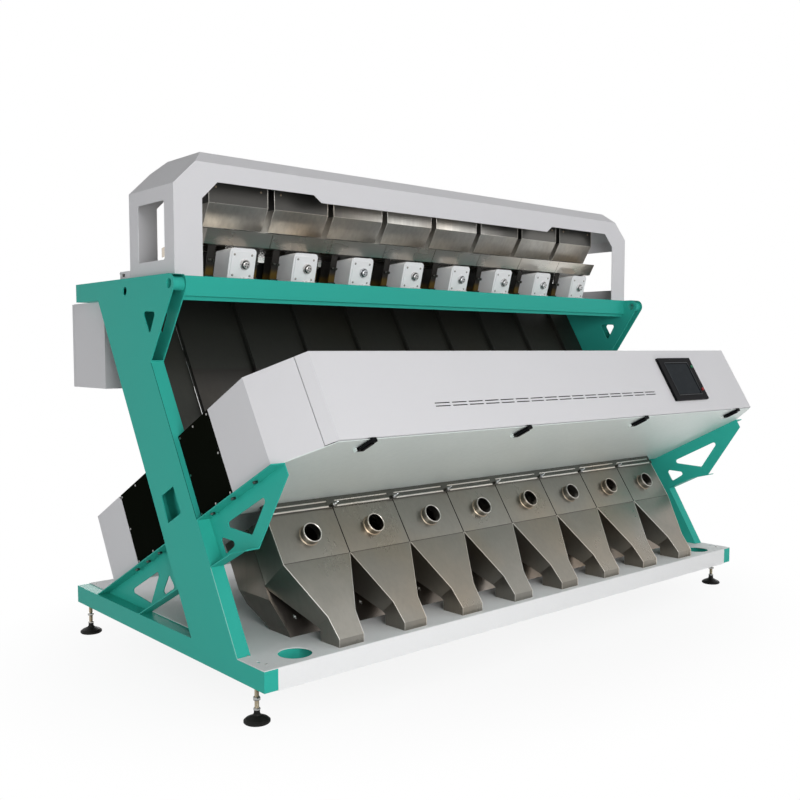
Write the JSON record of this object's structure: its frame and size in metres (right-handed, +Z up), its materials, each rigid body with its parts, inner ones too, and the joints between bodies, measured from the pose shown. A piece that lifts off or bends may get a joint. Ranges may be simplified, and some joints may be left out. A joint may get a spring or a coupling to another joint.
{
  "type": "optical colour sorter",
  "caption": "Multi-lane gravity-chute optical sorter: vibrating feed trays over sloped chutes, hinged front console with screen, outlet spouts on a low base.",
  "frame": {"origin": "on the floor below the middle of the base, less than 20 mm behind the middle of the bounding box", "axes": "+X along the machine to its right end, -Y to the operator at the console, +Z up"},
  "size_m": [3.24, 2.0564, 2.198],
  "materials": {
    "green_paint": "semi-gloss powder coat",
    "white_paint": "matt powder coat",
    "deck_sheet": "pale sheet",
    "zinc_sheet": "galvanised",
    "black_paint": "satin powder coat",
    "black_plastic": "moulded",
    "foot_black": "moulded pad on a steel stem",
    "stainless": "brushed stainless",
    "chute_dark": "dark anodised look",
    "chute_grey": "grey coated",
    "rear_outlet": "stainless in shade",
    "screen_glass": "dark glass",
    "window_glass": "clear",
    "green_plastic": "moulded",
    "red_plastic": "moulded",
    "camera_black": "anodised",
    "lamp": "extruded",
    "spring_leaf": "glass fibre leaf",
    "shelf_dark": "satin",
    "fastener": "zinc plated",
    "aluminium": "mill finish"
  },
  "bodies": {
    "frame": {"base_rails": "green_paint", "base_cross_members": "green_paint", "front_fascia": "white_paint", "deck_sheet": "deck_sheet", "leg_feet": "green_paint", "left_side_frame": "green_paint", "right_side_frame": "green_paint", "front_brackets": "green_paint", "rear_brackets": "green_paint", "top_front_beam": "green_paint", "top_rear_beam": "green_paint", "frame_bolts": "fastener", "front_side_panels": "black_paint", "rear_side_panels": "black_paint", "panel_screws": "fastener", "console_end_caps": "white_paint", "console_shell": "white_paint", "console_underside": "zinc_sheet", "rear_shell": "zinc_sheet", "window_glass": "window_glass", "cameras": "camera_black", "camera_rails": "aluminium", "lamps": "lamp", "ejector_bar": "aluminium", "air_manifold": "aluminium", "top_housing": "white_paint", "feed_hoppers": "stainless", "vibrators": "white_paint", "leaf_springs": "spring_leaf", "feed_shelf": "shelf_dark", "chutes": "chute_dark", "lower_chutes": "chute_grey", "front_outlets": "stainless", "rear_outlets": "rear_outlet", "outlet_rail": "zinc_sheet", "electrical_cabinet": "white_paint"},
    "cover": {"console_cover": "white_paint", "screen_bezel": "black_plastic", "screen_glass": "screen_glass"},
    "green_button": {"green_button": "green_plastic"},
    "red_button": {"red_button": "red_plastic"},
    "rear_cover": {"rear_cover": "white_paint"},
    "cabinet_door": {"cabinet_door": "white_paint"},
    "cabinet_lock": {"cabinet_lock": "fastener"},
    "latch_1": {"latch_1": "black_plastic"},
    "latch_2": {"latch_2": "black_plastic"},
    "latch_3": {"latch_3": "black_plastic"},
    "latch_4": {"latch_4": "black_plastic"},
    "feed_tray_1": {"feed_tray_1": "stainless"},
    "feed_tray_2": {"feed_tray_2": "stainless"},
    "feed_tray_3": {"feed_tray_3": "stainless"},
    "feed_tray_4": {"feed_tray_4": "stainless"},
    "feed_tray_5": {"feed_tray_5": "stainless"},
    "feed_tray_6": {"feed_tray_6": "stainless"},
    "feed_tray_7": {"feed_tray_7": "stainless"},
    "feed_tray_8": {"feed_tray_8": "stainless"},
    "foot_front_left": {"foot_front_left": "foot_black"},
    "foot_front_right": {"foot_front_right": "foot_black"},
    "foot_rear_left": {"foot_rear_left": "foot_black"},
    "foot_rear_right": {"foot_rear_right": "foot_black"}
  },
  "joints": [
    {"name": "cover_hinge", "type": "hinge", "parent": "frame", "child": "cover", "pos_m": [0, -0.84347, 1.35495], "axis": [-1, 0, 0], "range_deg": [0, 75]},
    {"name": "green_button_press", "type": "slide", "parent": "cover", "child": "green_button", "axis": [0, 0.8599, -0.5105], "range_m": [0, 0.003], "stiffness_N_per_m": 400, "springref_m": -0.002},
    {"name": "red_button_press", "type": "slide", "parent": "cover", "child": "red_button", "axis": [0, 0.8599, -0.5105], "range_m": [0, 0.003], "stiffness_N_per_m": 400, "springref_m": -0.002},
    {"name": "rear_cover_hinge", "type": "hinge", "parent": "frame", "child": "rear_cover", "pos_m": [0, 0.3801, 0.70462], "axis": [1, 0, 0], "range_deg": [0, 70]},
    {"name": "latch_1_hinge", "type": "hinge", "parent": "frame", "child": "latch_1", "pos_m": [-1.2675, -0.95786, 1.00505], "axis": [1, 0, 0], "range_deg": [0, 80]},
    {"name": "latch_2_hinge", "type": "hinge", "parent": "frame", "child": "latch_2", "pos_m": [-0.4225, -0.95786, 1.00505], "axis": [1, 0, 0], "range_deg": [0, 80]},
    {"name": "latch_3_hinge", "type": "hinge", "parent": "frame", "child": "latch_3", "pos_m": [0.4225, -0.95786, 1.00505], "axis": [1, 0, 0], "range_deg": [0, 80]},
    {"name": "latch_4_hinge", "type": "hinge", "parent": "frame", "child": "latch_4", "pos_m": [1.2675, -0.95786, 1.00505], "axis": [1, 0, 0], "range_deg": [0, 80]},
    {"name": "tray_1_stroke", "type": "slide", "parent": "frame", "child": "feed_tray_1", "axis": [0, 0.9962, -0.0872], "range_m": [-0.0015, 0.0015], "stiffness_N_per_m": 20000},
    {"name": "tray_2_stroke", "type": "slide", "parent": "frame", "child": "feed_tray_2", "axis": [0, 0.9962, -0.0872], "range_m": [-0.0015, 0.0015], "stiffness_N_per_m": 20000},
    {"name": "tray_3_stroke", "type": "slide", "parent": "frame", "child": "feed_tray_3", "axis": [0, 0.9962, -0.0872], "range_m": [-0.0015, 0.0015], "stiffness_N_per_m": 20000},
    {"name": "tray_4_stroke", "type": "slide", "parent": "frame", "child": "feed_tray_4", "axis": [0, 0.9962, -0.0872], "range_m": [-0.0015, 0.0015], "stiffness_N_per_m": 20000},
    {"name": "tray_5_stroke", "type": "slide", "parent": "frame", "child": "feed_tray_5", "axis": [0, 0.9962, -0.0872], "range_m": [-0.0015, 0.0015], "stiffness_N_per_m": 20000},
    {"name": "tray_6_stroke", "type": "slide", "parent": "frame", "child": "feed_tray_6", "axis": [0, 0.9962, -0.0872], "range_m": [-0.0015, 0.0015], "stiffness_N_per_m": 20000},
    {"name": "tray_7_stroke", "type": "slide", "parent": "frame", "child": "feed_tray_7", "axis": [0, 0.9962, -0.0872], "range_m": [-0.0015, 0.0015], "stiffness_N_per_m": 20000},
    {"name": "tray_8_stroke", "type": "slide", "parent": "frame", "child": "feed_tray_8", "axis": [0, 0.9962, -0.0872], "range_m": [-0.0015, 0.0015], "stiffness_N_per_m": 20000},
    {"name": "cabinet_door_hinge", "type": "hinge", "parent": "frame", "child": "cabinet_door", "pos_m": [-0.93345, 0.94455, 1.3895], "axis": [0, 0, -1], "range_deg": [0, 110]},
    {"name": "cabinet_lock_turn", "type": "hinge", "parent": "cabinet_door", "child": "cabinet_lock", "pos_m": [-1.4895, 0.957, 1.3895], "axis": [0, 1, 0], "range_deg": [0, 90]},
    {"name": "foot_front_left_turn", "type": "hinge", "parent": "frame", "child": "foot_front_left", "pos_m": [-1.57, -0.727, 0.14], "axis": [0, 0, 1], "range_deg": [-180, 180]},
    {"name": "foot_front_right_turn", "type": "hinge", "parent": "frame", "child": "foot_front_right", "pos_m": [1.57, -0.727, 0.14], "axis": [0, 0, 1], "range_deg": [-180, 180]},
    {"name": "foot_rear_left_turn", "type": "hinge", "parent": "frame", "child": "foot_rear_left", "pos_m": [-1.57, 0.747, 0.14], "axis": [0, 0, 1], "range_deg": [-180, 180]},
    {"name": "foot_rear_right_turn", "type": "hinge", "parent": "frame", "child": "foot_rear_right", "pos_m": [1.57, 0.747, 0.14], "axis": [0, 0, 1], "range_deg": [-180, 180]}
  ]
}
